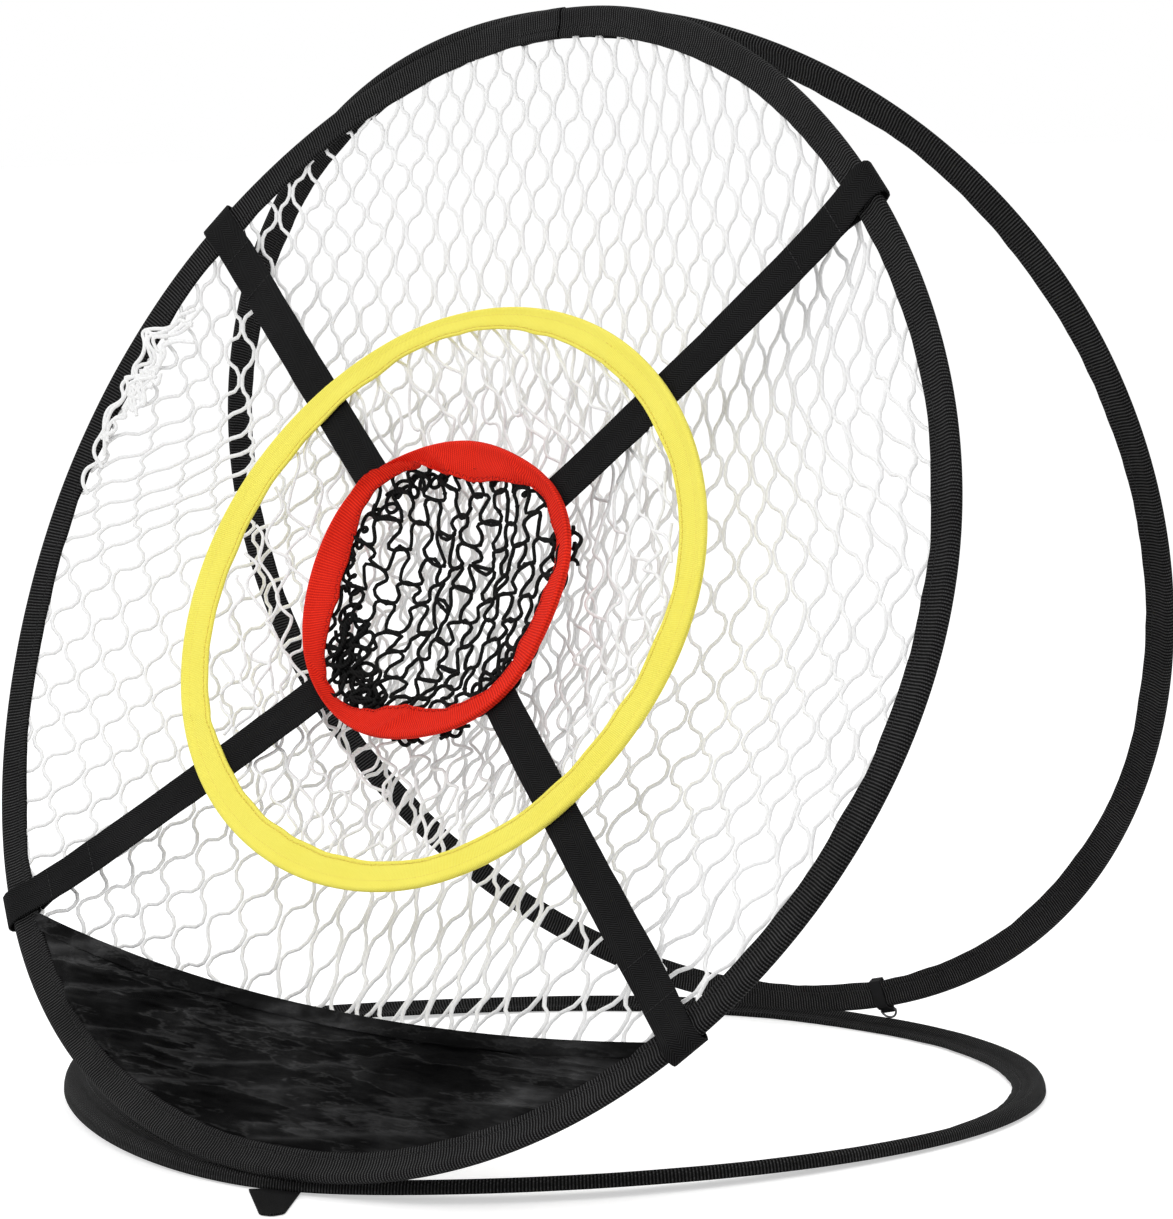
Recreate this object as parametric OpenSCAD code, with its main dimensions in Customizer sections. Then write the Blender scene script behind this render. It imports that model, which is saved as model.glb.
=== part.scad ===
// Pop-up golf chipping net: a leaning target hoop, a rear prop hoop and a base hoop, each a spring
// wire in a webbing sleeve. Straps across the target hoop carry two target rings with pocket nets.
// The origin is on the floor under the front hinge. The target faces -Y, and +Z is up.

/* [Hoops] */
// Outer diameter of the target hoop
target_d = 610; // [520:10:700]
// Outer diameter of the base hoop
base_d = 490; // [430:10:520]
// Backward lean of the target hoop from upright
target_lean = 25.5; // [18:0.5:32]
// Turn of the base hoop about the front hinge, as the soft frame stands
stand_turn = 10; // [0:1:15]
// Sideways shift of the rear hoop where it meets the target hoop
rear_top_x = -30; // [-40:1:0]
// Angle round the base hoop from its back to the rear hoop's foot
rear_foot_angle = 6.5; // [0:0.5:12]
// How far inside the base wire the rear hoop's foot stands
rear_foot_inset = 16.8; // [14:0.2:22]
// Height of the rear sleeve's foot above the floor
rear_foot_lift = 6; // [4:0.1:8]

/* [Wires and sleeves] */
// Spring wire diameter of the hoops
wire_d = 3.2; // [2.4:0.1:4]
// Wall of the crimp ferrule that joins the two ends of a wire
ferrule_wall = 0.6; // [0.4:0.1:0.8]
// Length of the crimp ferrule
ferrule_len = 26; // [16:1:40]
// Thickness of the sleeve webbing
ply = 0.95; // [0.7:0.05:1.2]
// Flat width of a hoop sleeve
sleeve_w = 16; // [13:0.5:20]

/* [Target rings] */
// Outer diameter of the middle ring
middle_d = 322; // [280:2:360]
// Outer diameter of the centre ring
centre_d = 166; // [130:2:200]
// Sideways place of the middle ring on the straps
middle_x = -5; // [-8:1:0]
// Sideways place of the centre ring on the straps
centre_x = -12; // [-14:1:0]
// Flat width of the middle ring's band
middle_w = 16; // [12:0.5:20]
// Flat width of the centre ring's band
centre_w = 13.5; // [11:0.5:18]
// Wire diameter of the rings
ring_wire_d = 2; // [1.4:0.1:2.6]
// Thickness of the ring webbing
ring_ply = 0.75; // [0.5:0.05:1]

/* [Straps] */
// Width of a strap
strap_w = 20; // [14:1:26]
// Thickness of the strap webbing
strap_t = 1.2; // [0.8:0.1:1.6]
// Length of the doubled, stitched part beside the hoop
strap_lap = 16; // [10:1:30]

/* [Nets] */
// Depth of the large net bag
net_depth = 60; // [50:2:90]
// Depth of the middle ring's pocket
middle_depth = 38; // [24:2:44]
// Depth of the centre ring's pocket
centre_depth = 24; // [14:2:28]
// Width of a net strand
strand_w = 3.2; // [2.4:0.1:4.5]
// Thickness of a net strand
strand_t = 1.8; // [1.2:0.1:2.4]

/* [Panel and tabs] */
// Thickness of the catch panel's cloth
panel_t = 0.8; // [0.5:0.1:1.2]
// Width of the hem along the panel's upper edge
hem_w = 9; // [6:0.5:14]
// Sag of the panel's upper edge below a straight line
panel_sag = 17; // [8:1:24]
// Width of the stake tab at the hoop
stake_w = 26; // [18:1:34]
// Length of the stake tab
stake_len = 54; // [30:1:60]
// Width of the clip tab
clip_w = 7; // [5:0.5:10]

/* [Hidden] */

seat_gap = 0.3;
wire_fit = 0.05;
ferrule_play = 0.1;
wire_end_gap = 1;
ferrule_r = wire_d / 2 + wire_fit + ferrule_wall;
tunnel_r = ferrule_r + ferrule_play;
bulge_r = tunnel_r + ply;
edge_t = 2 * ply + 0.5;
band_in = sleeve_w - bulge_r;
floor_flat = 1.6;

base_wire_r = base_d / 2 - bulge_r;
target_wire_r = target_d / 2 - bulge_r;
target_in_r = target_wire_r - band_in;
wire_gap = 2 * bulge_r + seat_gap;
target_foot_z = bulge_r + wire_gap;

// the rear hoop closes the triangle from the target hoop's top to the back of the base hoop
target_top = [0, 2 * target_wire_r * sin(target_lean), target_foot_z + 2 * target_wire_r * cos(target_lean)];
rear_top_gap = wire_gap - rear_top_x * sin(stand_turn) * 0.4;
rear_top = target_top + [rear_top_x, rear_top_gap, 0];
base_centre = base_wire_r * [-sin(stand_turn), cos(stand_turn), 0];
foot_dir = [cos(90 + rear_foot_angle), sin(90 + rear_foot_angle), 0];
rear_foot = base_centre + (base_wire_r - rear_foot_inset) * foot_dir + [0, 0, bulge_r + rear_foot_lift];
rear_span = rear_top - rear_foot;
rear_back = norm([rear_span[0], rear_span[1]]);
rear_wire_r = norm(rear_span) / 2;
rear_lean = atan2(rear_back, rear_span[2]);
rear_turn = atan2(rear_span[0], -rear_span[1]);

ring_tunnel_r = ring_wire_d / 2 + 0.2;
ring_bulge_r = ring_tunnel_r + ring_ply;
ring_edge_t = 2 * ring_ply + 0.3;
middle_wire_r = middle_d / 2 - ring_bulge_r;
centre_wire_r = centre_d / 2 - ring_bulge_r;
ring_back_z = strap_t / 2 + seat_gap;

strap_angles = [46, 141, 219, 317];
strap_tuck_r = centre_d / 2 - centre_w + 2;
loop_in_r = target_in_r - seat_gap - strap_t;
loop_half = bulge_r + seat_gap;

net_drop = 1.5 * strap_t + seat_gap;
pocket_drop = strap_t / 2 + seat_gap;
net_rim_r = loop_in_r - seat_gap;
middle_rim_r = middle_d / 2 - middle_w / 2;
centre_rim_r = centre_d / 2 - centre_w / 2;

panel_angles = [222.5, 313];
panel_r = target_in_r - seat_gap;
hem_t = panel_t + 0.8;

leaf_t = 0.5;
leaf_gap = 0.15;
leaf_in = 5;
leaf_w = 7;
leaf_len = 84;

stake_root = [5, 1];
stake_turn = 44;

clip_angle = 13;
clip_ply = 0.8;
clip_wire_r = 0.6;
clip_bar = clip_w + 2.4;
clip_tunnel_r = clip_wire_r + 0.15;
clip_bar_r = rear_wire_r + bulge_r + seat_gap + clip_ply + clip_tunnel_r;

// ---- frames: each hoop's plane, centred on the hoop, +y up the hoop, +z towards the front ----

module base_plane() {
    rotate([0, 0, stand_turn]) translate([0, base_wire_r, 0]) children();
}

module target_plane() {
    translate([0, 0, target_foot_z]) rotate([90 - target_lean, 0, 0])
        translate([0, target_wire_r, 0]) children();
}

module rear_plane() {
    translate(rear_foot) rotate([0, 0, rear_turn]) rotate([90 + rear_lean, 0, 0])
        translate([0, rear_wire_r, 0]) children();
}

// ---- shared shapes ----

// a wire bent to a hoop, open by a small gap centred on the angle at
module hoop_wire(r, at) {
    gap = wire_end_gap / r * 180 / PI;
    rotate([0, 0, at + gap / 2]) rotate_extrude(angle = 360 - gap, $fn = 180)
        translate([r, 0]) circle(d = wire_d, $fn = 32);
}

// a crimped tube over the two wire ends
module hoop_ferrule(r, at) {
    span = ferrule_len / r * 180 / PI;
    rotate([0, 0, at - span / 2]) rotate_extrude(angle = span, $fn = 180) translate([r, 0])
        difference() {
            circle(r = ferrule_r, $fn = 32);
            circle(r = wire_d / 2 + wire_fit, $fn = 32);
        }
}

// section of webbing folded round a wire, its two plies closed at the inner edge
module sleeve_section(r, bulge, tunnel, width, edge) {
    inner = r + bulge - width;
    difference() {
        union() {
            translate([r, 0]) circle(r = bulge, $fn = 40);
            polygon([[r, bulge], [inner, edge / 2], [inner, -edge / 2], [r, -bulge]]);
        }
        translate([r, 0]) circle(r = tunnel, $fn = 32);
    }
}

// the same fold lying on a flat surface at height 0, pressed flat as far as flat beyond the wire
module flat_sleeve_section(r, bulge, tunnel, width, edge, flat) {
    inner = r + bulge - width;
    difference() {
        union() {
            translate([r, bulge]) circle(r = bulge, $fn = 40);
            polygon([[r, 2 * bulge], [inner, edge], [inner, 0], [r + flat, 0]]);
        }
        translate([r, bulge]) circle(r = tunnel, $fn = 32);
    }
}

// a strip of tape lying along a sleeve's sloping face; low and high are the face's heights
// at the wire and at the inner edge
module leaf(r, low, high, at) {
    span = leaf_len / r * 180 / PI;
    slope = (high - low) / band_in;
    start = low + slope * leaf_in + sign(low) * leaf_gap;
    end = start + slope * leaf_w;
    skin = sign(low) * leaf_t;
    rotate([0, 0, at - span / 2]) rotate_extrude(angle = span, $fn = 180)
        polygon([
            [r - leaf_in, start], [r - leaf_in - leaf_w, end],
            [r - leaf_in - leaf_w, end + skin], [r - leaf_in, start + skin],
        ]);
}

// a webbing strap: a loop round the target sleeve, a doubled lap, and a run in to the centre ring
module strap(angle) {
    shift = centre_x * cos(angle);
    end_r = shift + sqrt(strap_tuck_r * strap_tuck_r - centre_x * centre_x + shift * shift);
    rotate([0, 0, angle]) rotate([90, 0, 0]) translate([0, 0, -strap_w / 2])
        linear_extrude(strap_w) strap_outline(end_r);
}

module strap_outline(end_r) {
    difference() {
        union() {
            translate([target_wire_r, 0]) circle(r = loop_half + strap_t, $fn = 40);
            polygon([
                [target_wire_r, loop_half + strap_t], [loop_in_r, strap_t * 1.5],
                [loop_in_r - strap_lap, strap_t / 2], [end_r, strap_t / 2],
                [end_r, -strap_t / 2], [loop_in_r - strap_lap, -strap_t / 2],
                [loop_in_r, -strap_t * 1.5], [target_wire_r, -loop_half - strap_t],
            ]);
        }
        translate([target_wire_r, 0]) circle(r = loop_half, $fn = 40);
        polygon([
            [target_wire_r, loop_half], [loop_in_r + strap_t, edge_t / 2 + seat_gap],
            [loop_in_r + strap_t, -edge_t / 2 - seat_gap], [target_wire_r, -loop_half],
        ]);
    }
}

// ---- nets: a dish of crossing strands with open diamonds between them ----

function toward(a, b, d) = a + (b - a) * (d / norm(b - a));

// level 0 is the rim, and each level's knots lie half a column on from the last level's
function knot(i, level, rim, hub, cols, rows) =
    let(r = rim * pow(hub / rim, level / rows), a = (i + (level % 2) / 2) * 360 / cols)
    r * [cos(a), sin(a)];

// the four corners of one gap: at its left knot, its inner knot, its right knot and its outer knot
function gap_corners(i, level, rim, hub, cols, rows, inset) =
    let(
        left = knot(i, level, rim, hub, cols, rows),
        right = knot(i + 1, level, rim, hub, cols, rows),
        next = level % 2 == 0 ? i : i + 1,
        inner = knot(next, level + 1, rim, hub, cols, rows),
        outer = knot(next, level - 1, rim, hub, cols, rows),
        whole = (left + right) / 2,
        middle = level == 0 ? (left + right + inner) / 3 : level == rows ? (left + right + outer) / 3 : whole
    )
    [
        toward(left, middle, inset), toward(inner, middle, inset),
        toward(right, middle, inset), toward(outer, middle, inset),
    ];

function reversed(face) = [for (k = [len(face) - 1:-1:0]) face[k]];
function shifted(face, by) = [for (v = face) v + by];
function split(face) = len(face) == 3 ? [face] : [[face[0], face[1], face[2]], [face[0], face[2], face[3]]];

module net_dish(rim, hub, drop, depth, cols, rows, inset) {
    corners = [for (level = [0:rows], i = [0:cols - 1])
        each gap_corners(i, level, rim, hub, cols, rows, level == rows ? inset * 0.6 : inset)];
    rim_points = [for (i = [0:cols - 1]) knot(i, 0, rim, hub, cols, rows) * (1 + strand_w / 2 / rim)];
    hub_points = [for (i = [0:cols - 1]) knot(i, rows, rim, hub, cols, rows) * (1 - strand_w / 2 / hub)];
    plan = concat(corners, rim_points, hub_points);
    outer_r = rim + strand_w / 2;
    top = [for (p = plan) [p[0], p[1], -drop - depth * (1 - pow(norm(p) / outer_r, 2))]];
    under = [for (p = top) p - [0, 0, strand_t]];
    count = len(plan);
    rim_at = len(corners);
    hub_at = rim_at + cols;
    function at(i, level, corner) = 4 * (level * cols + (i + cols) % cols) + corner;
    function rim_of(i) = rim_at + i % cols;
    function hub_of(i) = hub_at + i % cols;
    function after(i, level) = level % 2 == 0 ? i : i - 1;
    knots = [for (level = [0:rows], i = [0:cols - 1]) let(j = after(i, level + 1)) [
        level == 0 ? rim_of(i) : at(j, level - 1, 1), at(i, level, 0),
        level == rows ? hub_of(i) : at(j, level + 1, 3), at(i - 1, level, 2),
    ]];
    strands = [for (level = [0:rows - 1], i = [0:cols - 1]) let(j = after(i, level + 1)) each [
        [at(i, level, 0), at(i, level, 1), at(j, level + 1, 2), at(j, level + 1, 3)],
        [at(j, level + 1, 3), at(j, level + 1, 0), at(i - 1, level, 1), at(i - 1, level, 2)],
    ]];
    edges = [for (i = [0:cols - 1]) each [
        [rim_of(i), rim_of(i + 1), at(i, 0, 2), at(i, 0, 0)],
        [at(i, rows, 0), at(i, rows, 2), hub_of(i + 1), hub_of(i)],
    ]];
    skin = [for (face = concat(knots, strands, edges)) each split(face)];
    loops = concat(
        [for (level = [0:rows], i = [0:cols - 1])
            let(kept = level == 0 ? [0, 1, 2] : level == rows ? [0, 2, 3] : [0, 1, 2, 3])
            [for (corner = kept) at(i, level, corner)]],
        [[for (i = [0:cols - 1]) rim_of(i)]],
        [[for (i = [cols - 1:-1:0]) hub_of(i)]]
    );
    walls = [for (ring = loops, k = [0:len(ring) - 1]) let(p = ring[k], q = ring[(k + 1) % len(ring)])
        each split([q, p, p + count, q + count])];
    faces = concat(skin, [for (face = skin) reversed(shifted(face, count))], walls);
    polyhedron(concat(top, under), [for (face = faces) reversed(face)]);
}

// ---- base hoop ----

module base_wire() {
    color("#8c9094") base_plane() translate([0, 0, bulge_r]) hoop_wire(base_wire_r, 180);
}

module base_ferrule() {
    color("#b4b8ba") base_plane() translate([0, 0, bulge_r]) hoop_ferrule(base_wire_r, 180);
}

module base_sleeve() {
    color("#1b1b1c") base_plane() rotate_extrude($fn = 180)
        flat_sleeve_section(base_wire_r, bulge_r, tunnel_r, sleeve_w, edge_t, floor_flat);
}

// a tapered tab that lies on the floor in front of the base sleeve
module stake_tab() {
    tip_r = stake_w / 5;
    color("#1b1b1c") linear_extrude(strap_t) difference() {
        translate(stake_root) rotate([0, 0, stake_turn]) {
            polygon([
                [-stake_w / 2, stake_w / 2], [-stake_w / 2, 0], [-tip_r, tip_r - stake_len],
                [tip_r, tip_r - stake_len], [stake_w / 2, 0], [stake_w / 2, stake_w / 2],
            ]);
            translate([0, tip_r - stake_len]) circle(r = tip_r, $fn = 32);
        }
        base_plane() circle(r = base_d / 2 + seat_gap, $fn = 180);
    }
}

module front_hinge_base_leaf() {
    color("#222224") base_plane() leaf(base_wire_r, 2 * bulge_r, edge_t, -90);
}

// ---- target hoop and what it carries ----

module front_hinge_target_leaf() {
    color("#222224") target_plane() leaf(target_wire_r, -bulge_r, -edge_t / 2, -90);
}

module top_hinge_target_leaf() {
    color("#222224") target_plane() leaf(target_wire_r, -bulge_r, -edge_t / 2, 90);
}

module target_wire() {
    color("#8c9094") target_plane() hoop_wire(target_wire_r, 180);
}

module target_ferrule() {
    color("#b4b8ba") target_plane() hoop_ferrule(target_wire_r, 180);
}

module target_sleeve() {
    color("#1b1b1c") target_plane() rotate_extrude($fn = 180)
        sleeve_section(target_wire_r, bulge_r, tunnel_r, sleeve_w, edge_t);
}

// cloth across the foot of the target hoop, under an upper edge that sags as an arc
module panel_outline(drop) {
    ends = [for (a = panel_angles) panel_r * [cos(a), sin(a)]];
    half = norm(ends[1] - ends[0]) / 2;
    sag_r = (half * half + panel_sag * panel_sag) / (2 * panel_sag);
    along = (ends[1] - ends[0]) / (2 * half);
    up = [-along[1], along[0]];
    sag_centre = (ends[0] + ends[1]) / 2 + up * (sag_r - panel_sag);
    difference() {
        circle(r = panel_r, $fn = 180);
        translate(sag_centre) circle(r = sag_r + drop, $fn = 360);
        translate([-panel_r, ends[0][1] + half / 4]) square([2 * panel_r, 3 * panel_r]);
    }
}

module catch_panel() {
    color("#161617") target_plane() {
        translate([0, 0, -panel_t / 2]) linear_extrude(panel_t) panel_outline(0);
        translate([0, 0, -hem_t / 2]) linear_extrude(hem_t) difference() {
            panel_outline(0);
            panel_outline(hem_w);
        }
    }
}

module target_net() {
    color("#f2f2f0") target_plane()
        net_dish(net_rim_r - strand_w / 2, 26, net_drop, net_depth, 24, 9, strand_w * 0.9);
}

module strap_upper_right() {
    color("#1e1e1f") target_plane() strap(strap_angles[0]);
}

module strap_upper_left() {
    color("#1e1e1f") target_plane() strap(strap_angles[1]);
}

module strap_lower_left() {
    color("#1e1e1f") target_plane() strap(strap_angles[2]);
}

module strap_lower_right() {
    color("#1e1e1f") target_plane() strap(strap_angles[3]);
}

module ring_wire(r) {
    translate([0, 0, ring_back_z + ring_bulge_r]) rotate_extrude($fn = 180)
        translate([r, 0]) circle(d = ring_wire_d, $fn = 24);
}

module ring_sleeve(r, width) {
    translate([0, 0, ring_back_z]) rotate_extrude($fn = 180)
        flat_sleeve_section(r, ring_bulge_r, ring_tunnel_r, width, ring_edge_t, 0);
}

module middle_ring_wire() {
    color("#8c9094") target_plane() translate([middle_x, 0]) ring_wire(middle_wire_r);
}

module middle_ring_sleeve() {
    color("#fdee61") target_plane() translate([middle_x, 0]) ring_sleeve(middle_wire_r, middle_w);
}

module middle_pocket_net() {
    color("#f2f2f0") target_plane() translate([middle_x, 0])
        net_dish(middle_rim_r, 18, pocket_drop, middle_depth, 16, 6, strand_w * 0.8);
}

module centre_ring_wire() {
    color("#8c9094") target_plane() translate([centre_x, 0]) ring_wire(centre_wire_r);
}

module centre_ring_sleeve() {
    color("#f01e14") target_plane() translate([centre_x, 0]) ring_sleeve(centre_wire_r, centre_w);
}

module centre_pocket_net() {
    color("#141414") target_plane() translate([centre_x, 0])
        net_dish(centre_rim_r, 12, pocket_drop, centre_depth, 12, 5, strand_w * 0.7);
}

// ---- rear hoop ----

module top_hinge_rear_leaf() {
    color("#222224") rear_plane() leaf(rear_wire_r, bulge_r, edge_t / 2, 90);
}

module rear_wire() {
    color("#8c9094") rear_plane() hoop_wire(rear_wire_r, 0);
}

module rear_ferrule() {
    color("#b4b8ba") rear_plane() hoop_ferrule(rear_wire_r, 0);
}

module rear_sleeve() {
    color("#1b1b1c") rear_plane() rotate_extrude($fn = 180)
        sleeve_section(rear_wire_r, bulge_r, tunnel_r, sleeve_w, edge_t);
}

module at_clip() {
    rear_plane() rotate([0, 0, clip_angle - 90]) children();
}

// a narrow loop of webbing round the rear sleeve, its tail folded round the clip ring's bar
module clip_tab() {
    cavity = bulge_r + seat_gap;
    inner = rear_wire_r - band_in - seat_gap;
    fold_r = clip_tunnel_r + clip_ply;
    color("#1b1b1c") at_clip() rotate([90, 0, 0]) translate([0, 0, -clip_w / 2]) linear_extrude(clip_w)
        difference() {
            union() {
                translate([rear_wire_r, 0]) circle(r = cavity + clip_ply, $fn = 40);
                polygon([
                    [rear_wire_r, cavity + clip_ply], [inner - clip_ply, edge_t / 2 + seat_gap + clip_ply],
                    [inner - clip_ply, -edge_t / 2 - seat_gap - clip_ply], [rear_wire_r, -cavity - clip_ply],
                ]);
                translate([clip_bar_r, 0]) circle(r = fold_r, $fn = 32);
            }
            translate([rear_wire_r, 0]) circle(r = cavity, $fn = 40);
            polygon([
                [rear_wire_r, cavity], [inner, edge_t / 2 + seat_gap],
                [inner, -edge_t / 2 - seat_gap], [rear_wire_r, -cavity],
            ]);
            translate([clip_bar_r, 0]) circle(r = clip_tunnel_r, $fn = 32);
        }
}

// a D-shaped wire ring whose straight bar lies in the clip tab's fold
module clip_ring() {
    color("#9a9da0") at_clip() translate([clip_bar_r, 0, 0]) {
        rotate([90, 0, 0]) translate([0, 0, -clip_bar / 2]) cylinder(h = clip_bar, r = clip_wire_r, $fn = 24);
        intersection() {
            rotate_extrude($fn = 64) translate([clip_bar / 2, 0]) circle(r = clip_wire_r, $fn = 24);
            translate([0, -clip_bar, -clip_bar]) cube(2 * clip_bar);
        }
    }
}

base_wire();
base_ferrule();
base_sleeve();
stake_tab();
front_hinge_base_leaf();
front_hinge_target_leaf();
target_wire();
target_ferrule();
target_sleeve();
catch_panel();
target_net();
strap_upper_right();
strap_upper_left();
strap_lower_left();
strap_lower_right();
middle_ring_wire();
middle_ring_sleeve();
middle_pocket_net();
centre_ring_wire();
centre_ring_sleeve();
centre_pocket_net();
top_hinge_target_leaf();
top_hinge_rear_leaf();
rear_wire();
rear_ferrule();
rear_sleeve();
clip_tab();
clip_ring();
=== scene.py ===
import math
from functools import partial

import bmesh
import bpy
from mathutils import Matrix, Vector, noise


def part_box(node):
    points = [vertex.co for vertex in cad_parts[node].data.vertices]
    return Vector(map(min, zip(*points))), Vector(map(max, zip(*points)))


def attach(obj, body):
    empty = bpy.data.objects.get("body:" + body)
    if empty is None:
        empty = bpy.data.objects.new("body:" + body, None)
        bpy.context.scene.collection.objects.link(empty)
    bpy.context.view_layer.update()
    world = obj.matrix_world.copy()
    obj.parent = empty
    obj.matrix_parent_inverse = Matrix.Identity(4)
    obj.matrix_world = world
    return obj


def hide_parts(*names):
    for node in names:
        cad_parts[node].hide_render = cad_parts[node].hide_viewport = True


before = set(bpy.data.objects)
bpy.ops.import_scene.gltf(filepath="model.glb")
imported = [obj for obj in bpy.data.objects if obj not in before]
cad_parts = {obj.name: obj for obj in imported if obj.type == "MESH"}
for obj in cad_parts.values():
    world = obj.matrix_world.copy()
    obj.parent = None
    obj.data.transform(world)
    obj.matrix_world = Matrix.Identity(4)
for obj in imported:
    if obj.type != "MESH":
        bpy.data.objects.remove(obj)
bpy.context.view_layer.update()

mm = 0.001
fullTurn = 2 * math.pi
noise.seed_set(7)       # the vector noise of the nets is the same each time
print("frame loaded")


def clamp(value):
    return max(0.0, min(1.0, value))


def smoothStep(value, low, high):
    t = clamp((value - low) / (high - low))
    return t * t * (3 - 2 * t)


def turnFrom(middle, angle):
    # the shorter way round from one angle to the other
    return (angle - middle + math.pi) % fullTurn - math.pi


def bandAngle(co):
    return math.atan2(co.y, co.x)


def onDisc(angle, radius, height=0.0):
    return Vector((radius * math.cos(angle), radius * math.sin(angle), height))


# where each hoop's plane lies: its middle, the direction across it and the direction up it

def placeMatrix(centre, across, up):
    across, up = Vector(across).normalized(), Vector(up).normalized()
    place = Matrix.Identity(4)
    for column, vector in enumerate((across, up, across.cross(up), centre)):
        for row in range(3):
            place[row][column] = vector[row]
    return place


targetLean = math.radians(25.5)
standTurn = math.radians(10)
planes = {
    "target": placeMatrix((0, 0.129885, 0.282510), (1, 0, 0),
                          (0, math.sin(targetLean), math.cos(targetLean))),
    "rear": placeMatrix((-0.048715, 0.365118, 0.282060), (0.981658, 0.19065, 0),
                        (0.06456, -0.33242, 0.940919)),
    "base": placeMatrix((-0.041970, 0.238028, 0), (math.cos(standTurn), math.sin(standTurn), 0),
                        (-math.sin(standTurn), math.cos(standTurn), 0)),
}

# The hoops are sprung by hand into shape, so each is a little oval and bowed. For each hoop: the radius it
# is measured at, then how far its points move outward and forward in mm, as a mean and waves of one to four
# turns. The seam is how far its foot keeps off the hoop that it is sewn to, up its plane and forward of it
# in mm. The sag is how far its middle hangs from its rim.
hoopBow = {
    "target": dict(reach=0.297, outward=(0.4, 0.5 - 1.2j, 0.4 - 5.7j, 3.2 - 0.5j, 0.6 - 0.4j),
                   forward=(-3.0, -0.4 + 1.5j, -5.1 + 7.1j, -1.0 + 0.0j, -0.6 - 2.3j),
                   seam=(1.0, 0), sag=(0, -5 * mm, -5 * mm)),
    "rear": dict(reach=0.285, outward=(-2.8, -1.0 + 0.5j, -3.9 + 3.7j, -1.2 - 0.2j, -0.6 + 0.8j),
                 forward=(-0.2, 0.8 - 0.2j, 0.2 + 0.4j, -1.2 - 0.4j, 0.3 + 0.0j),
                 seam=(0, 0), sag=(0, 0, 0)),
    "base": dict(reach=0.237, outward=(1.9, 0.0 + 2.0j, 6.0 + 3.2j, -2.0 + 2.8j, 2.0 + 3.4j),
                 forward=(3.1, -2.2 - 2.0j, 2.1 + 0.5j, -1.5 - 0.7j, 0.0 + 0.6j),
                 seam=(0, -1.3), sag=(0, 0, 0)),
}
bowEnd = 1.06       # past this share of a hoop's radius its points all move as the rim does
footSpread = 0.3    # half the angle of the foot that keeps off the seam


def bowPoint(co, hoop):
    # the whole disc inside a hoop follows it, as a stretched skin would
    bow = hoopBow[hoop]
    z = complex(co.x, co.y) / bow["reach"]
    if abs(z) > bowEnd:
        z *= bowEnd / abs(z)
    out, forward = bow["outward"][0] * z, bow["forward"][0]
    for count in range(1, 5):
        out += bow["outward"][count] * (z ** (count - 1)).conjugate()
        forward += (bow["forward"][count].conjugate() * z ** count).real
    foot = math.exp(-((bandAngle(co) + math.pi / 2) / footSpread) ** 2) * min(1.0, abs(z)) ** 6
    out += 1j * bow["seam"][0] * foot
    forward += bow["seam"][1] * foot
    if hoop == "base":
        forward = max(0.0, forward)     # it lies on the floor
    slack = max(0.0, 1 - abs(z) ** 2)
    co.x += out.real * mm + bow["sag"][0] * slack
    co.y += out.imag * mm + bow["sag"][1] * slack
    co.z += forward * mm + bow["sag"][2] * slack


# materials

def mathNode(tree, operation, first, second=None, third=None):
    node = tree.nodes.new("ShaderNodeMath")
    node.operation = operation
    for socket, value in zip(node.inputs, (first, second, third)):
        if value is None:
            continue
        if isinstance(value, (int, float)):
            socket.default_value = value
        else:
            tree.links.new(value, socket)
    return node.outputs[0]


def newMaterial(name):
    material = bpy.data.materials.new(name)
    material.use_nodes = True
    tree = material.node_tree
    return material, tree, tree.nodes["Principled BSDF"], partial(mathNode, tree)


def setFinish(shader, look):
    for key, socket in (("rough", "Roughness"), ("gloss", "Specular IOR Level"), ("metal", "Metallic")):
        if key in look:
            shader.inputs[socket].default_value = look[key]


def bandAxes(tree):
    # uv x is metres along a band, uv y metres across it
    uv = tree.nodes.new("ShaderNodeUVMap")
    uv.uv_map = "band"
    split = tree.nodes.new("ShaderNodeSeparateXYZ")
    tree.links.new(uv.outputs["UV"], split.inputs[0])
    return split.outputs[0], split.outputs[1]


def flatPoint(tree, x, y):
    point = tree.nodes.new("ShaderNodeCombineXYZ")
    tree.links.new(x, point.inputs[0])
    tree.links.new(y, point.inputs[1])
    return point.outputs[0]


def noiseAt(tree, place, scale, detail, roughness):
    texture = tree.nodes.new("ShaderNodeTexNoise")
    for socket, value in (("Scale", scale), ("Detail", detail), ("Roughness", roughness)):
        texture.inputs[socket].default_value = value
    tree.links.new(place, texture.inputs["Vector"])
    return texture.outputs["Fac"]


def objectNoise(tree, scale, detail=3, roughness=0.5):
    coords = tree.nodes.new("ShaderNodeTexCoord")
    return noiseAt(tree, coords.outputs["Object"], scale, detail, roughness)


def stripes(calc, angle):
    # a smooth wave between 0 and 1
    return calc("MULTIPLY_ADD", calc("SINE", angle), 0.5, 0.5)


def blendColour(tree, shader, factor, look):
    blend = tree.nodes.new("ShaderNodeMix")
    blend.data_type = "RGBA"
    tree.links.new(factor, blend.inputs["Factor"])
    blend.inputs["A"].default_value = (*look["dark"], 1)
    blend.inputs["B"].default_value = (*look["light"], 1)
    tree.links.new(blend.outputs["Result"], shader.inputs["Base Color"])


def bumpFrom(tree, shader, height, distance, strength):
    bump = tree.nodes.new("ShaderNodeBump")
    bump.inputs["Distance"].default_value = distance
    bump.inputs["Strength"].default_value = strength
    tree.links.new(height, bump.inputs["Height"])
    tree.links.new(bump.outputs["Normal"], shader.inputs["Normal"])


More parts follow.
